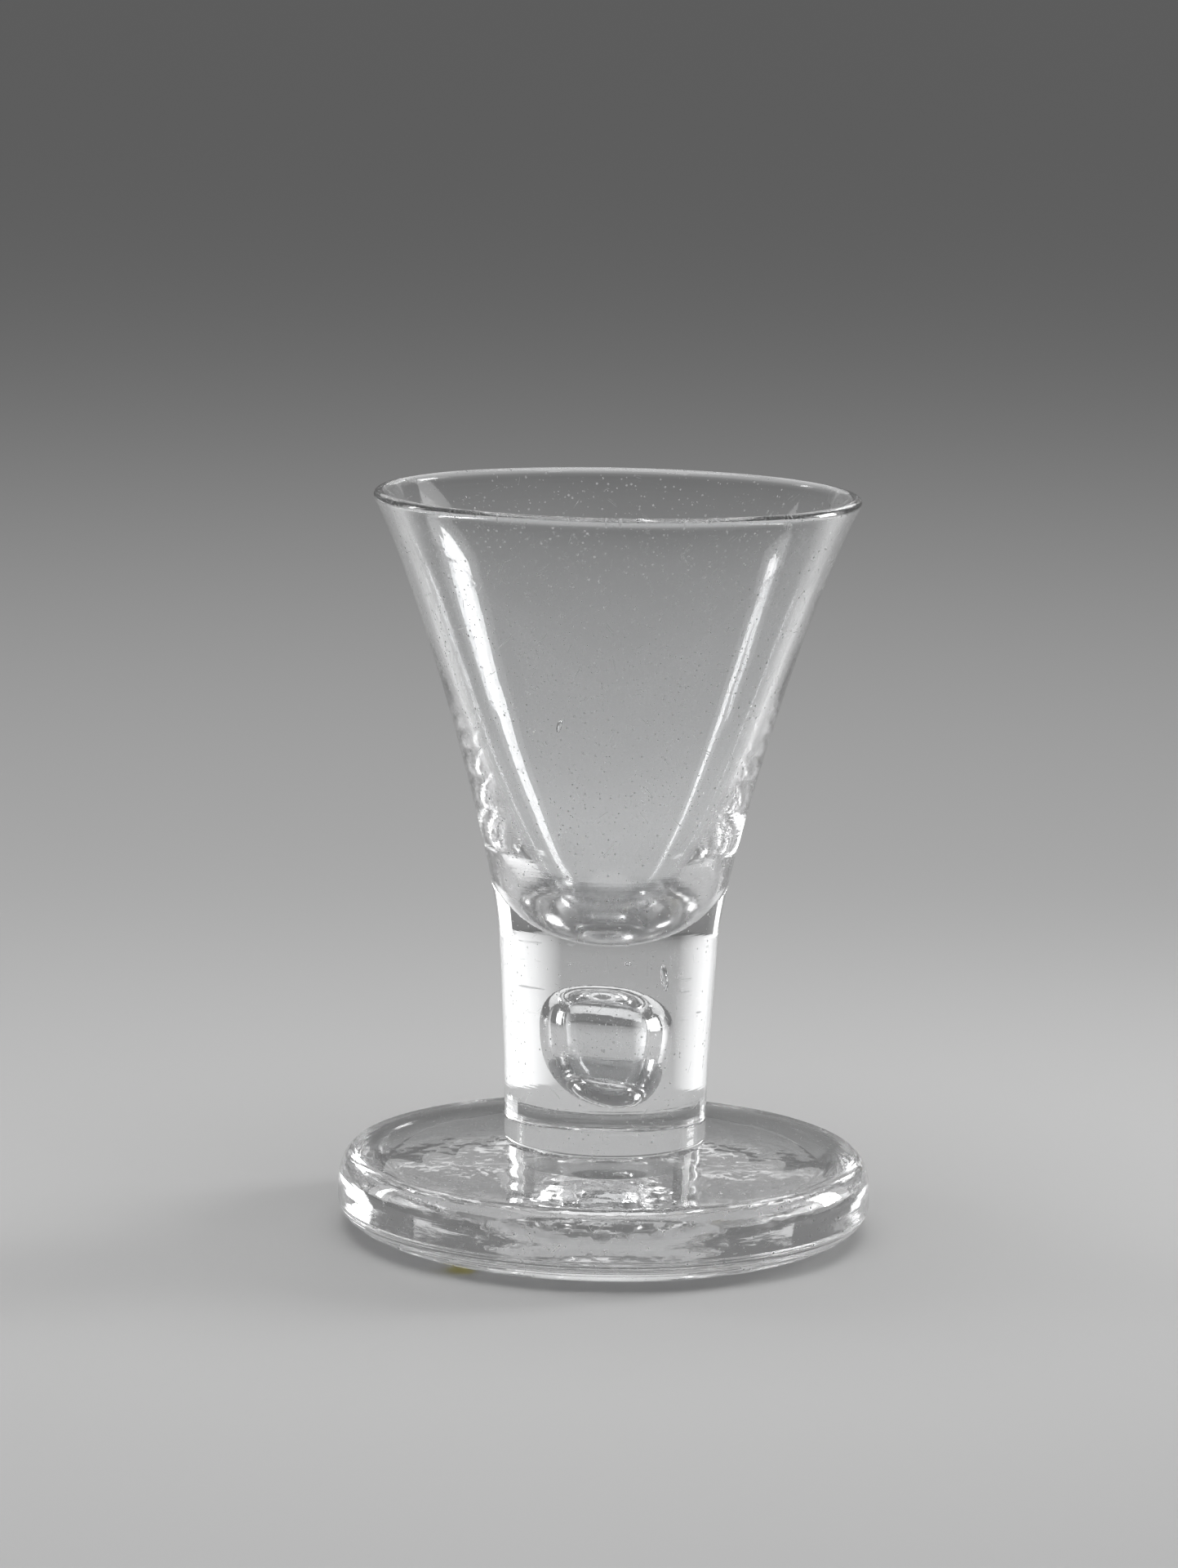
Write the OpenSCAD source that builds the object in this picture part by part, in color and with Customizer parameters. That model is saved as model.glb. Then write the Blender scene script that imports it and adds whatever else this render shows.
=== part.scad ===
// Firing glass of clear lead glass: a thick trumpet bowl, a short solid stem with
// a trapped tear of air, and a heavy disc foot made to be rapped on a table.
// Three gathers of hot glass, each welded to the next. Millimetres, +Z up,
// origin at the centre of the ring that the foot stands on.

/* [Bowl] */
// Height of the bowl, from the weld with the stem up to the top of the lip
bowl_h = 60; // [50:0.5:75]
// Outside diameter at the lip
rim_d = 64.8; // [56:0.2:76]
// Thickness of the fire-rounded lip
lip_t = 1.6; // [1.4:0.1:3]
// Lean of the outside wall just under the lip, from upright
rim_angle = 28; // [20:1:33]
// Length of outside wall that keeps the lean it has under the lip
rim_hold = 13; // [8:0.5:18]
// Lean of the inside wall just under the lip, from upright
mouth_angle = 26; // [22:0.5:32]
// Length of inside wall that keeps the lean it has under the lip
mouth_hold = 14; // [8:0.5:20]
// Solid glass on the axis between the hollow and the weld with the stem
base_t = 7.4; // [5:0.1:14]
// Radius of the round end of the hollow
tip_r = 10; // [6:0.1:11]
// Lean of the inside wall where it leaves the round end, from upright
tip_angle = 36; // [28:1:42]
// Length of inside wall that keeps the lean it has at the round end
tip_hold = 11.4; // [6:0.2:17]
// How far the bowl's solid base bulges down into the stem
base_bulge = 7; // [4:0.5:10]

/* [Stem] */
// Length of the stem, from the foot up to the weld with the bowl
stem_l = 27.5; // [24:0.5:40]
// Diameter at the weld with the bowl
neck_d = 29.4; // [26:0.2:34]
// Lean of the side where stem and bowl meet, from upright
neck_angle = 3.5; // [1:0.5:8]
// Length of stem below the weld that keeps that lean
neck_hold = 14; // [8:0.5:16]
// Length of bowl above the weld that keeps that lean
sweep_hold = 8.6; // [5:0.2:14]
// Diameter of the lower stem
stem_d = 27.3; // [24:0.1:30]
// Length of lower stem that stays upright
stem_hold = 7.3; // [4:0.1:10]
// Rounding of the stem's lower edge at the foot
stem_edge_r = 0.6; // [0.3:0.1:1.5]

/* [Tear] */
// Diameter of the air tear at its shoulder
tear_d = 11.5; // [6:0.1:15]
// Height of the tear
tear_h = 17; // [10:0.5:20]
// Height of the tear's shoulder above its lower end
tear_shoulder = 10.8; // [6:0.1:14]
// Height of the tear's lower end above the foot
tear_lift = 5.1; // [2:0.1:8]

/* [Foot] */
// Diameter of the foot
foot_d = 72; // [64:0.5:84]
// Height of the foot at its edge
foot_edge_h = 10.7; // [9.5:0.1:14]
// Rise of the foot's top from its edge to the stem
foot_rise = 1.8; // [0.5:0.1:4]
// Diameter of the flat that the foot stands on
rest_d = 56.6; // [48:0.2:62]
// Height of the rounding under the edge
under_h = 4.2; // [2:0.1:5]
// Width of the rounding on top of the edge
shoulder_w = 2.6; // [1:0.1:5]
// Height of the rounding on top of the edge
shoulder_h = 4.7; // [2:0.1:5]
// Diameter of the shallow hollow ground where the working rod broke off
pontil_d = 22; // [14:0.5:26]
// Depth of that hollow
pontil_depth = 1.2; // [0.5:0.1:2.5]

/* [Hidden] */
$fn = 96;
long_steps = 24;
short_steps = 10;
glass_colour = [0.88, 0.90, 0.91, 0.45];

// Heights of the two welds and of the lip
foot_top = foot_edge_h + foot_rise;
weld_z = foot_top + stem_l;
lip_z = weld_z + bowl_h;

// A stretch of outline leaves out its first point, which ends the stretch before it
function bezier(a, b, c, d) = [
    for (i = [1 : long_steps]) let (t = i / long_steps, u = 1 - t)
        u * u * u * a + 3 * u * u * t * b + 3 * u * t * t * c + t * t * t * d
];
function arc(centre, wide, high, from, to) = [
    for (i = [1 : short_steps]) let (angle = from + (to - from) * i / short_steps)
        centre + [wide * cos(angle), high * sin(angle)]
];
function leaning(angle) = [tan(angle), 1];
function on_circle(centre, r, angle) = centre + r * [cos(angle), sin(angle)];

// Weld between bowl and stem: part of a sphere through the neck, low in the middle
neck = [neck_d / 2, weld_z];
weld_r = (neck.x * neck.x + base_bulge * base_bulge) / (2 * base_bulge);
weld_centre = [0, weld_z - base_bulge + weld_r];
weld_edge_angle = -acos(neck.x / weld_r);
weld_low = [0, weld_z - base_bulge];

// Lip, a full round that both walls run into
lip_r = lip_t / 2;
lip_centre = [rim_d / 2 - lip_r, lip_z - lip_r];
rim_side = on_circle(lip_centre, lip_r, -rim_angle);
mouth_side = on_circle(lip_centre, lip_r, 180 - mouth_angle);

// Round end of the hollow
tip_centre = weld_low + [0, base_t + tip_r];
tip_side = on_circle(tip_centre, tip_r, -tip_angle);

// Stem, from the weld on the foot up
stem_foot = [stem_d / 2, foot_top + stem_edge_r];
stem_edge_centre = stem_foot - [stem_edge_r, 0];

// Tear, widest at its shoulder
tear_low = foot_top + tear_lift;
tear_top = tear_low + tear_h;
tear_side = [tear_d / 2, tear_low + tear_shoulder];
// Share of each quarter of the tear's outline that its handles reach along
tear_round = 0.62;

// Foot
foot_r = foot_d / 2;
rest_r = rest_d / 2;
pontil_r = pontil_d / 2;
pontil_sphere = (pontil_r * pontil_r + pontil_depth * pontil_depth) / (2 * pontil_depth);
pontil_centre = [0, pontil_depth - pontil_sphere];

module tear() {
    outline = concat(
        [[0, tear_low]],
        bezier([0, tear_low], [tear_round * tear_side.x, tear_low],
               tear_side - [0, tear_round * tear_shoulder], tear_side),
        bezier(tear_side, tear_side + [0, tear_round * (tear_top - tear_side.y)],
               [tear_round * tear_side.x, tear_top], [0, tear_top]));
    rotate_extrude() polygon(outline);
}

// Blown bowl on a thick solid base, drawn out to a thin flared lip
module bowl() {
    outline = concat(
        bezier(neck, neck + sweep_hold * leaning(neck_angle),
               rim_side - rim_hold * leaning(rim_angle), rim_side),
        arc(lip_centre, lip_r, lip_r, -rim_angle, 180 - mouth_angle),
        bezier(mouth_side, mouth_side - mouth_hold * leaning(mouth_angle),
               tip_side + tip_hold * leaning(tip_angle), tip_side),
        arc(tip_centre, tip_r, tip_r, -tip_angle, -90),
        [weld_low],
        arc(weld_centre, weld_r, weld_r, -90, weld_edge_angle));
    color(glass_colour)
        difference() {
            rotate_extrude() polygon(outline);
            tear();
        }
}

// Solid stem, gathered over the bowl's base so that it traps the tear
module stem() {
    outline = concat(
        [[0, foot_top], [stem_edge_centre.x, foot_top]],
        arc(stem_edge_centre, stem_edge_r, stem_edge_r, -90, 0),
        bezier(stem_foot, stem_foot + [0, stem_hold],
               neck - neck_hold * leaning(neck_angle), neck),
        arc(weld_centre, weld_r, weld_r, weld_edge_angle, -90));
    color(glass_colour)
        difference() {
            rotate_extrude() polygon(outline);
            tear();
        }
}

// Heavy disc foot, tooled flat on top and ground where the working rod came off
module foot() {
    outline = concat(
        [[0, pontil_depth]],
        arc(pontil_centre, pontil_sphere, pontil_sphere, 90, acos(pontil_r / pontil_sphere)),
        [[rest_r, 0]],
        arc([rest_r, under_h], foot_r - rest_r, under_h, -90, 0),
        [[foot_r, foot_edge_h - shoulder_h]],
        arc([foot_r - shoulder_w, foot_edge_h - shoulder_h], shoulder_w, shoulder_h, 0, 90),
        [[stem_d / 2, foot_top], [0, foot_top]]);
    color(glass_colour) rotate_extrude() polygon(outline);
}

bowl();
stem();
foot();
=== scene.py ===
import math

import bpy
import numpy as np
from mathutils import Matrix, Vector


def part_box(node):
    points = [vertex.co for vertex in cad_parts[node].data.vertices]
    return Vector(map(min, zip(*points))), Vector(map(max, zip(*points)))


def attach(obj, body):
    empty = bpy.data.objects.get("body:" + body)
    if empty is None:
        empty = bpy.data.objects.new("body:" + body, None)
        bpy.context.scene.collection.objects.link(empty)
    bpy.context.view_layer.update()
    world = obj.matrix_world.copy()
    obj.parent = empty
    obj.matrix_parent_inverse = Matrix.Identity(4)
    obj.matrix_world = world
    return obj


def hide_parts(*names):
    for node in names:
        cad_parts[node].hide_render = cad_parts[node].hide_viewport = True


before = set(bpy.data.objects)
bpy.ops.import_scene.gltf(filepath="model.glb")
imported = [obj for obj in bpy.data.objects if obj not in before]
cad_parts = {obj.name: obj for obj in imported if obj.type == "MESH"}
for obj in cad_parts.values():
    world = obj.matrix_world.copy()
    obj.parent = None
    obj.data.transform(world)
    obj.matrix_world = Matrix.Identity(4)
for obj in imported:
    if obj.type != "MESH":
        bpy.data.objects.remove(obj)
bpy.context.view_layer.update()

# Bowl: the first gather of clear lead glass, blown and swung to a trumpet on a thick solid base.
# Its lip was sheared and rounded in the fire. The base was pricked with a spike before the stem
# covered it, so that the crown of the air tear is a dent in the bowl's underside.
MM = 0.001

lip_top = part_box("bowl")[1].z
rim_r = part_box("bowl")[1].x
weld_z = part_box("stem")[1].z
neck_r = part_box("stem")[1].x
foot_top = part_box("stem")[0].z

lip_r = 0.8 * MM
rim_angle = math.radians(28)
rim_hold = 13 * MM
mouth_angle = math.radians(26)
mouth_hold = 14 * MM
base_t = 7.4 * MM
tip_r = 10 * MM
tip_angle = math.radians(36)
tip_hold = 11.4 * MM
base_bulge = 7 * MM
neck_angle = math.radians(3.5)
sweep_hold = 8.6 * MM
tear_r = 5.75 * MM
tear_h = 17 * MM
tear_shoulder = 10.8 * MM
tear_lift = 5.1 * MM
tear_round = 0.62
quarter = math.pi / 2

# How far hot glass may have sunk at the hollow's round end, on its wall and at the lip
tip_sag = 0.12 * MM
wall_sag = 0.1 * MM
lip_sag = 0.05 * MM

# Points of a profile that lie closer than this are one point
same_place = 1e-7


def bezier(a, b, c, d, rows):
    """Points (radius, height) along a curve from a to d with handles b and c."""
    t = np.linspace(0, 1, rows)[:, None]
    u = 1 - t
    return u**3 * a + 3 * u * u * t * b + 3 * u * t * t * c + t**3 * d


def arc(centre, wide, high, start, end, rows):
    """Points (radius, height) along part of an ellipse, by angle from the level outward direction."""
    angle = np.linspace(start, end, rows)
    return np.array(centre) + np.column_stack([wide * np.cos(angle), high * np.sin(angle)])


def leaning(angle, length):
    """A step of that height along a side that leans outwards by angle."""
    return np.array([length * math.tan(angle), length])


# The weld is part of a sphere through the neck, and the tear's outline crosses it near its crown
weld_r = (neck_r**2 + base_bulge**2) / (2 * base_bulge)
weld_centre = np.array([0, weld_z - base_bulge + weld_r])
neck = np.array([neck_r, weld_z])
tear_low = np.array([0, foot_top + tear_lift])
tear_top = tear_low + [0, tear_h]
tear_side = tear_low + [tear_r, tear_shoulder]
tear_outline = np.concatenate([
    bezier(tear_low, tear_low + [tear_round * tear_r, 0],
           tear_side - [0, tear_round * tear_shoulder], tear_side, rows=60),
    bezier(tear_side, tear_side + [0, tear_round * (tear_h - tear_shoulder)],
           tear_top + [tear_round * tear_r, 0], tear_top, rows=40)[1:]])
in_bowl = np.linalg.norm(tear_outline - weld_centre, axis=1) < weld_r
tear_in_stem = tear_outline[~in_bowl]
tear_edge = tear_in_stem[-1]
tear_in_bowl = np.concatenate([[tear_edge], tear_outline[in_bowl]])
weld_inner_angle = math.asin((tear_edge[1] - weld_centre[1]) / weld_r)
weld_outer_angle = math.asin((neck[1] - weld_centre[1]) / weld_r)
neck_weld = np.concatenate([
    [tear_edge],
    arc(weld_centre, weld_r, weld_r, weld_inner_angle, weld_outer_angle, rows=18)[1:-1],
    [neck]])


def node_makers(tree):
    """Two helpers for one tree. The first adds a node with its settings and links or sets its inputs in
    order, where None leaves one alone. The second adds a sum and gives its result."""
    def node(kind, *inputs, **settings):
        new = tree.nodes.new(kind)
        for name, value in settings.items():
            setattr(new, name, value)
        shown = [socket for socket in new.inputs if socket.enabled]
        for socket, value in zip(shown, inputs):
            if isinstance(value, bpy.types.NodeSocket):
                tree.links.new(value, socket)
            elif value is not None:
                socket.default_value = value
        return new

    def sums(operation, *inputs):
        return node("ShaderNodeMath", *inputs, operation=operation).outputs[0]

    return node, sums


def turned_glass_tree():
    """Nodes that turn a profile about the upright axis and give it the unevenness of hot glass."""
    tree = bpy.data.node_groups.new("turned_glass", "GeometryNodeTree")
    for name, kind in (("Profile", "Geometry"), ("Seeds", "Object"), ("Steps Around", "Int"),
                       ("Ripple Size", "Float"), ("Grain Size", "Float"), ("Noise Seed", "Float"),
                       ("Glass", "Material"), ("Weld", "Material")):
        tree.interface.new_socket(name, in_out="INPUT", socket_type="NodeSocket" + kind)
    tree.interface.new_socket("Piece", in_out="OUTPUT", socket_type="NodeSocketGeometry")
    given = tree.nodes.new("NodeGroupInput").outputs
    made = tree.nodes.new("NodeGroupOutput").inputs
    node, sums = node_makers(tree)

    # A flat grid with one row for each point of the profile, wrapped into rings
    count = node("GeometryNodeAttributeDomainSize", given["Profile"]).outputs["Point Count"]
    last_row = sums("SUBTRACT", count, 1.0)
    columns = sums("ADD", given["Steps Around"], 1.0)
    grid = node("GeometryNodeMeshGrid", math.tau, last_row, columns, count)
    place = node("ShaderNodeSeparateXYZ", node("GeometryNodeInputPosition").outputs[0])
    held = node("GeometryNodeCaptureAttribute", grid.outputs["Mesh"])
    held.capture_items.new("FLOAT", "Row")
    held.capture_items.new("FLOAT", "Turn")
    from_first_row = sums("ADD", place.outputs["Y"], sums("MULTIPLY", last_row, 0.5))
    tree.links.new(from_first_row, held.inputs["Row"])
    tree.links.new(place.outputs["X"], held.inputs["Turn"])
    row = held.outputs["Row"]
    turn = held.outputs["Turn"]
    ring_row = node("FunctionNodeFloatToInt", row, rounding_mode="ROUND").outputs[0]
    strip_row = node("FunctionNodeFloatToInt", row, rounding_mode="FLOOR").outputs[0]

    def of_profile(name, at_row):
        value = node("GeometryNodeInputNamedAttribute", name, data_type="FLOAT").outputs[0]
        return node("GeometryNodeSampleIndex", given["Profile"], value, at_row,
                    data_type="FLOAT", domain="POINT").outputs[0]

    radius = of_profile("radius", ring_row)
    ring = node("ShaderNodeCombineXYZ",
                sums("MULTIPLY", radius, sums("SINE", turn)),
                sums("MULTIPLY", radius, sums("COSINE", turn)),
                of_profile("height", ring_row))
    wrapped = node("GeometryNodeSetPosition", held.outputs["Geometry"], None, ring.outputs[0])
    closed = node("GeometryNodeMergeByDistance", wrapped.outputs[0], None, same_place)

    # Unevenness: the surface sinks by up to the profile's own sag and grain, and never swells
    noise_detail = 1.5

    def sinking(most, size):
        noise = node("ShaderNodeTexNoise", None, given["Noise Seed"], sums("DIVIDE", 1.0, size),
                     noise_detail, noise_dimensions="4D")
        return sums("MULTIPLY", sums("SUBTRACT", noise.outputs[0], 1.0), of_profile(most, ring_row))

    sunk = node("ShaderNodeVectorMath", node("GeometryNodeInputNormal").outputs[0], operation="SCALE")
    ripple = sinking("sag", given["Ripple Size"])
    grain = sinking("grain", given["Grain Size"])
    tree.links.new(sums("ADD", ripple, grain), sunk.inputs["Scale"])
    uneven = node("GeometryNodeSetPosition", closed.outputs[0], None, None, sunk.outputs[0])

    # Smooth all over, with a crisp line where a weld face meets the outside
    crisp_angle = math.radians(35)
    smooth = node("GeometryNodeSetShadeSmooth", uneven.outputs[0], None, True, domain="FACE")
    bend = node("GeometryNodeInputMeshEdgeAngle").outputs["Unsigned Angle"]
    crisp = node("GeometryNodeSetShadeSmooth", smooth.outputs[0],
                 sums("GREATER_THAN", bend, crisp_angle), False, domain="EDGE")

    # Seeds: small bubbles of gas left in the melt, each a closed hollow that faces its own air
    seed_places = node("GeometryNodeObjectInfo", given["Seeds"]).outputs["Geometry"]
    bubble = node("GeometryNodeMeshIcoSphere", 1.0, 3).outputs["Mesh"]
    half_size = node("GeometryNodeInputNamedAttribute", "half_size", data_type="FLOAT_VECTOR").outputs[0]
    lean = node("GeometryNodeInputNamedAttribute", "lean", data_type="FLOAT_VECTOR").outputs[0]
    bubbles = node("GeometryNodeInstanceOnPoints", seed_places, None, bubble, None, None, lean, half_size)
    real_bubbles = node("GeometryNodeRealizeInstances", bubbles.outputs[0])
    hollow = node("GeometryNodeFlipFaces", real_bubbles.outputs[0])
    round_hollow = node("GeometryNodeSetShadeSmooth", hollow.outputs[0], None, True, domain="FACE")
    both = node("GeometryNodeJoinGeometry")
    tree.links.new(round_hollow.outputs[0], both.inputs[0])
    tree.links.new(crisp.outputs[0], both.inputs[0])

    # Glass all over, but for the welded strips of the profile; a seed has no row, so it stays glass
    solid = node("GeometryNodeRealizeInstances", both.outputs[0])
    clear = node("GeometryNodeSetMaterial", solid.outputs[0], None, given["Glass"])
    on_profile = sums("GREATER_THAN", row, 0.25)
    welded = sums("MULTIPLY", of_profile("weld", strip_row), on_profile)
    joined = node("GeometryNodeSetMaterial", clear.outputs[0], welded, given["Weld"])
    tree.links.new(joined.outputs[0], made["Piece"])
    return tree


def points_object(name, places, **values):
    """Loose points with named values, a number or a vector at each, for a tree of nodes to build on."""
    mesh = bpy.data.meshes.new(name)
    mesh.from_pydata([tuple(place) for place in places], [], [])
    for value_name, numbers in values.items():
        numbers = np.array(numbers, np.float32)
        kind, field = ("FLOAT", "value") if numbers.ndim == 1 else ("FLOAT_VECTOR", "vector")
        mesh.attributes.new(value_name, kind, "POINT").data.foreach_set(field, numbers.ravel())
    holder = bpy.data.objects.new(name, mesh)
    bpy.context.scene.collection.objects.link(holder)
    return holder


def stretch(outline, sag=(0, 0), grain=0, weld=False):
    """Part of a profile: its points, how far each may sink, given for both ends, the depth of its grain,
    and whether it is fused to another piece."""
    return outline, np.linspace(*sag, len(outline)), grain, float(weld)


def seed(place, half_size, lean):
    """A bubble by its place and its half sizes in millimetres, and its lean to the right in radians."""
    return np.array(place) * MM, np.array(half_size) * MM, (0, lean, 0)


def turned_piece(name, profile, seeds, settings):
    """One closed piece of glass, from a profile of stretches that runs from the axis to the axis."""
    points, sags, grains, welds = [], [], [], []
    for outline, sag, grain, weld in profile:
        if points and np.linalg.norm(outline[0] - points[-1]) < same_place:
            outline, sag = outline[1:], sag[1:]
            welds[-1] = weld
        points += list(outline)
        sags += list(sag)
        grains += [grain] * len(outline)
        welds += [weld] * len(outline)
    piece = points_object(
        name, [(0, 0, 0)] * len(points), radius=[point[0] for point in points],
        height=[point[1] for point in points], sag=sags, grain=grains, weld=welds)
    seed_points = points_object(
        name + "_seeds", [place for place, half_size, lean in seeds],
        half_size=[half_size for place, half_size, lean in seeds],
        lean=[lean for place, half_size, lean in seeds])
    settings = {**settings, "Seeds": seed_points}
    lathe = piece.modifiers.new("turned", "NODES")
    lathe.node_group = turned_glass
    for socket in turned_glass.interface.items_tree:
        if socket.name in settings:
            lathe[socket.identifier] = settings[socket.name]
    evaluated = piece.evaluated_get(bpy.context.evaluated_depsgraph_get())
    turned = bpy.data.meshes.new_from_object(evaluated)
    piece.modifiers.clear()
    old_mesh = piece.data
    piece.data = turned
    turned.name = name
    bpy.data.meshes.remove(old_mesh)
    bpy.data.objects.remove(seed_points)
    return piece


def lean_tear(piece):
    """The tear set a little askew as the stem was drawn: its crown to one side and uneven, its tip to
    the other side."""
    lean = 1.15 * MM
    middle_z = 26 * MM
    half_h = 8.6 * MM
    crown_z = [27 * MM, 32 * MM]
    crown_wave = 0.15 * MM
    wave_x = 2.1 * MM
    wave_y = 2.6 * MM
    wave_start = 0.6
    # The glass follows less and less from the tear out to the skin and up to the hollow
    fade_r = [6 * MM, 12 * MM]
    fade_z = [35 * MM, 39 * MM]

    at = np.empty(len(piece.data.vertices) * 3, np.float32)
    piece.data.vertices.foreach_get("co", at)
    x, y, z = at.reshape(-1, 3).T
    follows = np.interp(np.hypot(x, y), fade_r, [1, 0]) * np.interp(z, fade_z, [1, 0])
    x -= lean * np.clip((z - middle_z) / half_h, -1, 1)**3 * follows
    crown = np.interp(z, crown_z, [0, 1]) * follows
    z += crown_wave * np.sin(x / wave_x) * np.cos(y / wave_y + wave_start) * crown
    piece.data.vertices.foreach_set("co", at)
    piece.data.update()


def lead_glass():
    """Clear, heavy, faintly grey glass, with turning marks and the haze, specks and scratches of use."""
    glass = bpy.data.materials.new("lead_glass")
    glass.use_nodes = True
    tree = glass.node_tree
    shader = tree.nodes["Principled BSDF"]
    shader.inputs["IOR"].default_value = 1.55
    shader.inputs["Transmission Weight"].default_value = 1.0
    node, sums = node_makers(tree)
    place = node("ShaderNodeTexCoord").outputs["Object"]
    facing = node("ShaderNodeNewGeometry").outputs["Normal"]

    def noise(vector, scale, detail):
        return node("ShaderNodeTexNoise", vector, scale, detail).outputs[0]

    def cells(scale):
        return node("ShaderNodeTexVoronoi", place, scale).outputs

    def vectors(operation, *inputs):
        return node("ShaderNodeVectorMath", *inputs, operation=operation).outputs

    def ramp(value, start, end, first, last):
        return node("ShaderNodeMapRange", value, start, end, first, last).outputs[0]

    # Haze: a thin film that lies in clouds
    haze = ramp(noise(place, scale=60.0, detail=4.0), start=0.4, end=0.75, first=0.0, last=0.06)

    # Dregs: a dull film dried in the round end of the hollow
    hollow_end = (0, 0, 47 * MM)
    from_end = vectors("DISTANCE", place, hollow_end)["Value"]
    dregs = ramp(from_end, start=12 * MM, end=6 * MM, first=0.0, last=0.22)

    # Specks: pits and grit, most of them a tenth of a millimetre across, sized in shares of a cell
    least_speck = 0.08
    speck_growth = 0.2
    bare_cells = 0.4
    grit = cells(scale=1500.0)
    chance = node("ShaderNodeSeparateXYZ", grit["Color"]).outputs
    speck_size = sums("MULTIPLY_ADD", sums("POWER", chance["Y"], 3.0), speck_growth, least_speck)
    speck = sums("MULTIPLY", sums("LESS_THAN", grit["Distance"], speck_size),
                 sums("GREATER_THAN", chance["X"], bare_cells))

    # Scratches: short and straight along the surface, each with a way and a length of its own
    scratch_half_w = 0.035 * MM
    scuffs = cells(scale=220.0)
    toss = vectors("SUBTRACT", scuffs["Color"], (0.5, 0.5, 0.5))[0]
    way = vectors("NORMALIZE", vectors("CROSS_PRODUCT", facing, toss)[0])[0]
    sideways = vectors("CROSS_PRODUCT", facing, way)[0]
    away = vectors("SUBTRACT", place, scuffs["Position"])[0]
    along = sums("ABSOLUTE", vectors("DOT_PRODUCT", away, way)["Value"])
    across = sums("ABSOLUTE", vectors("DOT_PRODUCT", away, sideways)["Value"])
    luck = node("ShaderNodeSeparateXYZ", scuffs["Color"]).outputs["X"]
    half_length = ramp(luck, start=0.45, end=1.0, first=0.0, last=1.1 * MM)
    scratch = sums("MULTIPLY", sums("LESS_THAN", across, scratch_half_w),
                   sums("LESS_THAN", along, half_length))

    # Stain: a crust of old polish under the foot's edge, at the front
    stain_place = (-18.7 * MM, -25 * MM, 0.5 * MM)
    stain_level = 1.05
    glass_tint = (0.955, 0.96, 0.965, 1)
    polish_tint = (0.60, 0.49, 0.05, 1)
    from_stain = vectors("DISTANCE", place, stain_place)["Value"]
    caught = ramp(from_stain, start=0.5 * MM, end=4.5 * MM, first=0.8, last=0.0)
    crumbs = noise(place, scale=1100.0, detail=3.0)
    stain = sums("GREATER_THAN", sums("ADD", crumbs, caught), stain_level)
    tint = node("ShaderNodeMix", stain, glass_tint, polish_tint, data_type="RGBA")
    tree.links.new(tint.outputs[2], shader.inputs["Base Color"])

    # Roughness: the films, or the roughest of the marks where there is one
    roughness = sums("ADD", haze, dregs)
    for mark, mark_roughness in ((speck, 0.8), (scratch, 0.5), (stain, 0.6)):
        roughness = sums("MAXIMUM", roughness, sums("MULTIPLY", mark, mark_roughness))
    tree.links.new(roughness, shader.inputs["Roughness"])

    # Turning marks: fine rings, deepest from the bowl's base down, where the tools held the glass
    mark_depth = 0.008 * MM
    ring_scale = (60, 60, 2400)
    height = node("ShaderNodeSeparateXYZ", place).outputs["Z"]
    strength = ramp(height, start=50 * MM, end=62 * MM, first=1.0, last=0.2)
    along_rings = node("ShaderNodeMapping", place, None, None, ring_scale).outputs[0]
    rings = noise(along_rings, scale=1.0, detail=3.0)
    marks = node("ShaderNodeBump", 1.0, mark_depth)
    tree.links.new(sums("MULTIPLY", rings, strength), marks.inputs["Height"])
    tree.links.new(marks.outputs[0], shader.inputs["Normal"])
    return glass


def weld_face():
    """Where two gathers have fused, light passes as through one body of glass."""
    fused = bpy.data.materials.new("fused_weld")
    fused.use_nodes = True
    nodes = fused.node_tree.nodes
    nodes.remove(nodes["Principled BSDF"])
    through = nodes.new("ShaderNodeBsdfTransparent")
    fused.node_tree.links.new(through.outputs[0], nodes["Material Output"].inputs["Surface"])
    return fused


turned_glass = turned_glass_tree()
hot_glass = {"Steps Around": 240, "Ripple Size": 12 * MM, "Grain Size": 2 * MM, "Noise Seed": 3.0,
             "Glass": lead_glass(), "Weld": weld_face()}

lip_centre = np.array([rim_r - lip_r, lip_top - lip_r])
rim_side = lip_centre + lip_r * np.array([math.cos(rim_angle), -math.sin(rim_angle)])
mouth_side = lip_centre + lip_r * np.array([-math.cos(mouth_angle), math.sin(mouth_angle)])
tip_centre = np.array([0, weld_z - base_bulge + base_t + tip_r])
tip_side = tip_centre + tip_r * np.array([math.cos(tip_angle), -math.sin(tip_angle)])
round_end = arc(tip_centre, tip_r, tip_r, -quarter, -tip_angle, rows=20)
inside = bezier(tip_side, tip_side + leaning(tip_angle, tip_hold),
                mouth_side - leaning(mouth_angle, mouth_hold), mouth_side, rows=84)
lip = arc(lip_centre, lip_r, lip_r, math.pi - mouth_angle, -rim_angle, rows=22)
bowl_side = bezier(rim_side, rim_side - leaning(rim_angle, rim_hold),
                   neck + leaning(neck_angle, sweep_hold), neck, rows=90)
bowl_seeds = [seed((-6.9, -20.5, 71.6), half_size=(0.35, 0.3, 1.0), lean=0.25)]
bowl = turned_piece("blown_bowl", [
    stretch(round_end, sag=(tip_sag, wall_sag)),
    stretch(inside, sag=(wall_sag, lip_sag)),
    stretch(lip, sag=(lip_sag, lip_sag)),
    stretch(bowl_side, sag=(lip_sag, 0)),
    stretch(neck_weld[::-1], weld=True),
    stretch(tear_in_bowl),
], bowl_seeds, hot_glass)
lean_tear(bowl)
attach(bowl, "root")
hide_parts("bowl")

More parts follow.
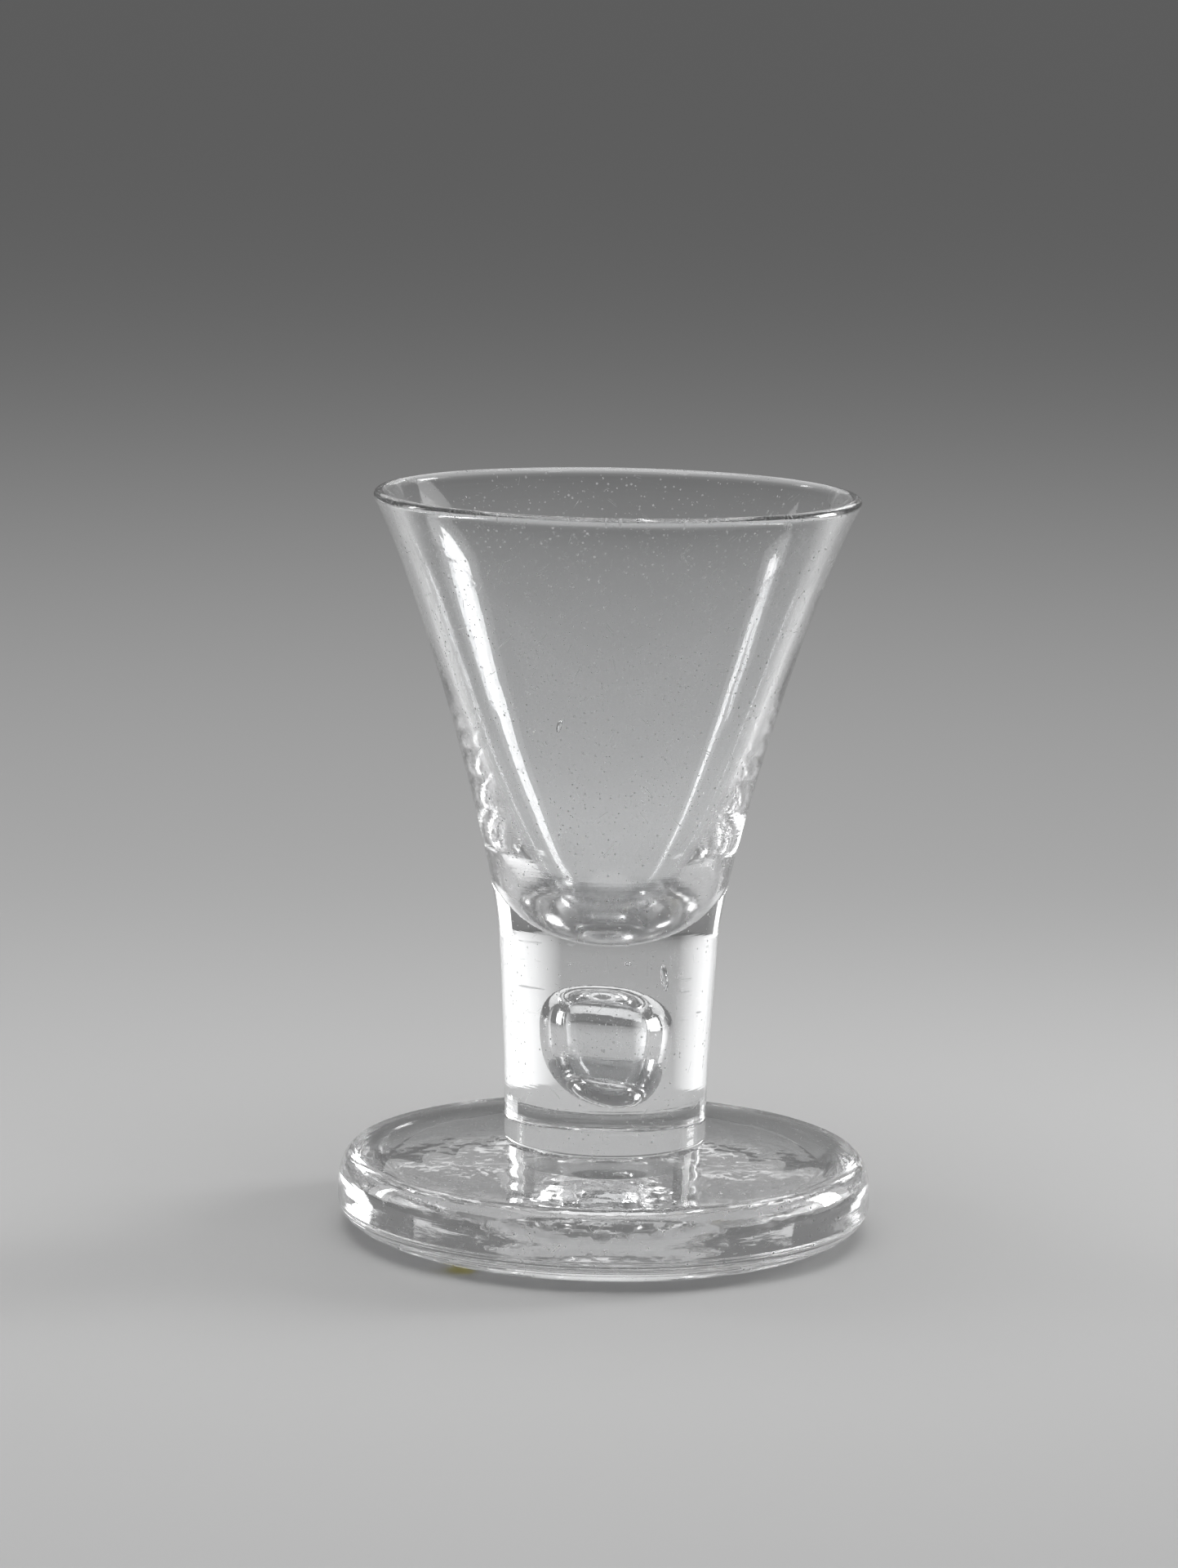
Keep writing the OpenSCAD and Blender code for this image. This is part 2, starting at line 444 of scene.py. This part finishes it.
# Stem: the second gather, put over the pricked base so that it trapped a tear of air, then drawn
# down to a short solid column. It is the same glass, fused to the bowl all over their weld.
stem_r = 13.65 * MM
stem_hold = 7.3 * MM
stem_edge_r = 0.6 * MM
neck_hold = 14 * MM
stem_sag = 0.05 * MM


def level(start_r, end_r, height, rows):
    """Points (radius, height) along a level line."""
    return np.column_stack([np.linspace(start_r, end_r, rows), np.full(rows, height)])


stem_foot = np.array([stem_r, foot_top + stem_edge_r])
stem_edge_centre = stem_foot - [stem_edge_r, 0]
weld_reach = stem_edge_centre[0]
stem_side = bezier(neck, neck - leaning(neck_angle, neck_hold),
                   stem_foot + [0, stem_hold], stem_foot, rows=70)
lower_edge = arc(stem_edge_centre, stem_edge_r, stem_edge_r, 0, -quarter, rows=10)
stem_seeds = [seed((2.5, -13.2, 39.0), half_size=(0.55, 0.4, 0.3), lean=0.2),
              seed((7.2, -11.0, 36.8), half_size=(0.5, 0.4, 1.9), lean=-0.15),
              seed((-6.2, -12.0, 37.0), half_size=(0.15, 0.15, 0.25), lean=0),
              seed((-4.9, -12.9, 38.6), half_size=(0.2, 0.15, 0.15), lean=0)]
stem = turned_piece("drawn_stem", [
    stretch(tear_in_stem),
    stretch(neck_weld, weld=True),
    stretch(stem_side, sag=(0, stem_sag)),
    stretch(lower_edge, sag=(stem_sag, 0)),
    stretch(level(weld_reach, 0, foot_top, rows=8), weld=True),
], stem_seeds, hot_glass)
lean_tear(stem)
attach(stem, "root")
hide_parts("stem")

# Foot: the third gather, dropped on the end of the stem and pressed out to a heavy disc while the
# glass turned. The ring it stands on surrounds a ground hollow where the working rod broke off.
foot_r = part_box("foot")[1].x
foot_edge_h = 10.7 * MM
rest_r = 28.3 * MM
under_h = 4.2 * MM
shoulder_w = 2.6 * MM
shoulder_h = 4.7 * MM
pontil_r = 11 * MM
pontil_depth = 1.2 * MM
flat_sag = 0.06 * MM
edge_sag = 0.12 * MM
rest_grain = 0.06 * MM
pontil_grain = 0.08 * MM

# Shallow rings that the tools left, wide on the top and close under the edge
top_ring_depth = 0.04 * MM
top_ring_pitch = 5.2 * MM
under_ring_depth = 0.03 * MM
under_rings = 10


def ring_sinking(depth, turns):
    """How far the surface sinks below its highest, in waves that each take one turn."""
    return depth / 2 * (1 - np.cos(math.tau * turns))


pontil_sphere = (pontil_r**2 + pontil_depth**2) / (2 * pontil_depth)
pontil_centre = np.array([0, pontil_depth - pontil_sphere])
shoulder_top = np.array([foot_r - shoulder_w, foot_edge_h])
top_r = np.linspace(weld_reach, shoulder_top[0], 70)
top_z = np.interp(top_r, [stem_r, shoulder_top[0]], [foot_top, foot_edge_h])
top_z -= ring_sinking(top_ring_depth, (top_r - weld_reach) / top_ring_pitch)
shoulder = arc(shoulder_top - [0, shoulder_h], shoulder_w, shoulder_h, quarter, 0, rows=26)
under = arc([rest_r, under_h], foot_r - rest_r, under_h, 0, -quarter, rows=90)
under[:, 0] -= ring_sinking(under_ring_depth, np.linspace(0, under_rings, len(under)))
pontil = arc(pontil_centre, pontil_sphere, pontil_sphere,
             math.acos(pontil_r / pontil_sphere), quarter, rows=36)
pressed_glass = {**hot_glass, "Steps Around": 320, "Ripple Size": 9 * MM, "Grain Size": 1.4 * MM,
                 "Noise Seed": 7.0}
foot = turned_piece("pressed_foot", [
    stretch(level(0, weld_reach, foot_top, rows=10), weld=True),
    stretch(np.column_stack([top_r, top_z]), sag=(0, flat_sag)),
    stretch(shoulder, sag=(flat_sag, edge_sag)),
    stretch(under, sag=(edge_sag, flat_sag)),
    stretch(level(rest_r, pontil_r, 0, rows=60), sag=(flat_sag, flat_sag), grain=rest_grain),
    stretch(pontil, sag=(flat_sag, flat_sag), grain=pontil_grain),
], [], pressed_glass)
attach(foot, "root")
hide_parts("foot")

# Floor: a plain sheet of pale paper that the glass stands on, no part of the glass. It runs so far
# that no edge shows, and lies a hair below the foot, so that no face of one lies in the other.
floor_gap = 0.15 * MM
floor_reach = 60.0
paper_grey = (0.60, 0.60, 0.60, 1)
floor_mesh = bpy.data.meshes.new("floor")
floor_corners = [(x * floor_reach, y * floor_reach, -floor_gap)
                 for x, y in ((-1, -1), (1, -1), (1, 1), (-1, 1))]
floor_mesh.from_pydata(floor_corners, [], [(0, 1, 2, 3)])
floor = bpy.data.objects.new("floor", floor_mesh)
bpy.context.scene.collection.objects.link(floor)
paper = bpy.data.materials.new("pale_paper")
paper.use_nodes = True
paper_shader = paper.node_tree.nodes["Principled BSDF"]
paper_shader.inputs["Base Color"].default_value = paper_grey
paper_shader.inputs["Specular IOR Level"].default_value = 0.0
floor_mesh.materials.append(paper)


# Light: on each side, far off and a little behind, a bright strip in the middle of a wide soft one, and
# overhead a large soft box that the glass mirrors but does not let through. White cards, a large one high
# at the back and small ones behind the stem and the bowl, give no light but what the glass shows of them.
def soft_box(name, place, aim, wide, high, spread, glow):
    """A plain area lamp of that size in metres, as bright as glow times white paper where it is seen from
    straight in front, with its light kept within that many degrees."""
    lamp = bpy.data.lights.new(name, "AREA")
    lamp.shape = "RECTANGLE"
    lamp.size = wide
    lamp.size_y = high
    lamp.spread = math.radians(spread)
    half = lamp.spread / 2
    lamp.energy = glow * math.pi * wide * high * (1 - half / math.tan(half))
    box = bpy.data.objects.new(name, lamp)
    box.location = place
    box.rotation_mode = "QUATERNION"
    box.rotation_quaternion = (Vector(aim) - Vector(place)).to_track_quat("-Z", "Y")
    box.visible_camera = False
    bpy.context.scene.collection.objects.link(box)
    return box


glass_middle = (0, 0, 0.06)
soft_box("right_strip", (0.457, 0.203, 0.16), glass_middle, wide=0.13, high=0.22, spread=60, glow=18)
soft_box("right_glow", (0.466, 0.207, 0.16), glass_middle, wide=0.30, high=0.30, spread=60, glow=2.4)
soft_box("left_strip", (-0.470, 0.171, 0.16), glass_middle, wide=0.04, high=0.22, spread=60, glow=10)
soft_box("left_glow", (-0.480, 0.175, 0.16), glass_middle, wide=0.14, high=0.28, spread=60, glow=2.0)
top_box = soft_box("top_box", (0, -0.05, 0.90), glass_middle, wide=1.0, high=1.0, spread=180, glow=1.9)
top_box.visible_transmission = False
cards = [soft_box("back_card", (0, 0.85, 0.62), glass_middle, wide=1.4, high=0.7, spread=120, glow=0.75)]
for side, stem_spread, stem_glow in ((1, 84, 1.3), (-1, 60, 1.1)):
    cards.append(soft_box("stem_card", (side * 0.0153, 0.0288, 0.0270), (side * -0.002, 0.0188, 0.0270),
                          wide=0.033, high=0.027, spread=stem_spread, glow=stem_glow))
    cards.append(soft_box("bowl_card", (side * 0.083, 0.069, 0.034), (side * 0.025, 0, 0.075),
                          wide=0.09, high=0.075, spread=28, glow=0.6))
for card in cards:
    card.visible_diffuse = False
room_grey = (0.18, 0.18, 0.18, 1)
world = bpy.data.worlds.new("studio")
world.use_nodes = True
world.node_tree.nodes["Background"].inputs["Color"].default_value = room_grey
scene = bpy.context.scene
scene.world = world
scene.view_settings.view_transform = "Standard"

# Light turns back and forth inside thick glass, and dark patches show where it is cut short
most_bounces = 32
scene.cycles.max_bounces = most_bounces
scene.cycles.transmission_bounces = most_bounces
scene.cycles.glossy_bounces = most_bounces
scene.cycles.transparent_max_bounces = most_bounces
scene.cycles.use_denoising = True

# Camera: low in front of the glass and seven times its height away, as the photograph was taken.
# It is rolled by about a degree, so that the glass stands a little askew in the picture.
camera_place = Vector((0, -690, 173.7)) * MM
camera_aim = Vector((-3.06, 0, 60.65)) * MM
camera_roll = 0.020
camera_data = bpy.data.cameras.new("camera")
camera_data.sensor_width = 36
camera_data.lens = 120
camera = bpy.data.objects.new("camera", camera_data)
forward = (camera_aim - camera_place).normalized()
rightward = forward.cross(Vector((0, 0, 1))).normalized()
upward = rightward.cross(forward)
picture_right = math.cos(camera_roll) * rightward + math.sin(camera_roll) * upward
picture_up = math.cos(camera_roll) * upward - math.sin(camera_roll) * rightward
turn = Matrix((picture_right, picture_up, -forward)).transposed().to_4x4()
camera.matrix_world = Matrix.Translation(camera_place) @ turn
scene.collection.objects.link(camera)
scene.camera = camera
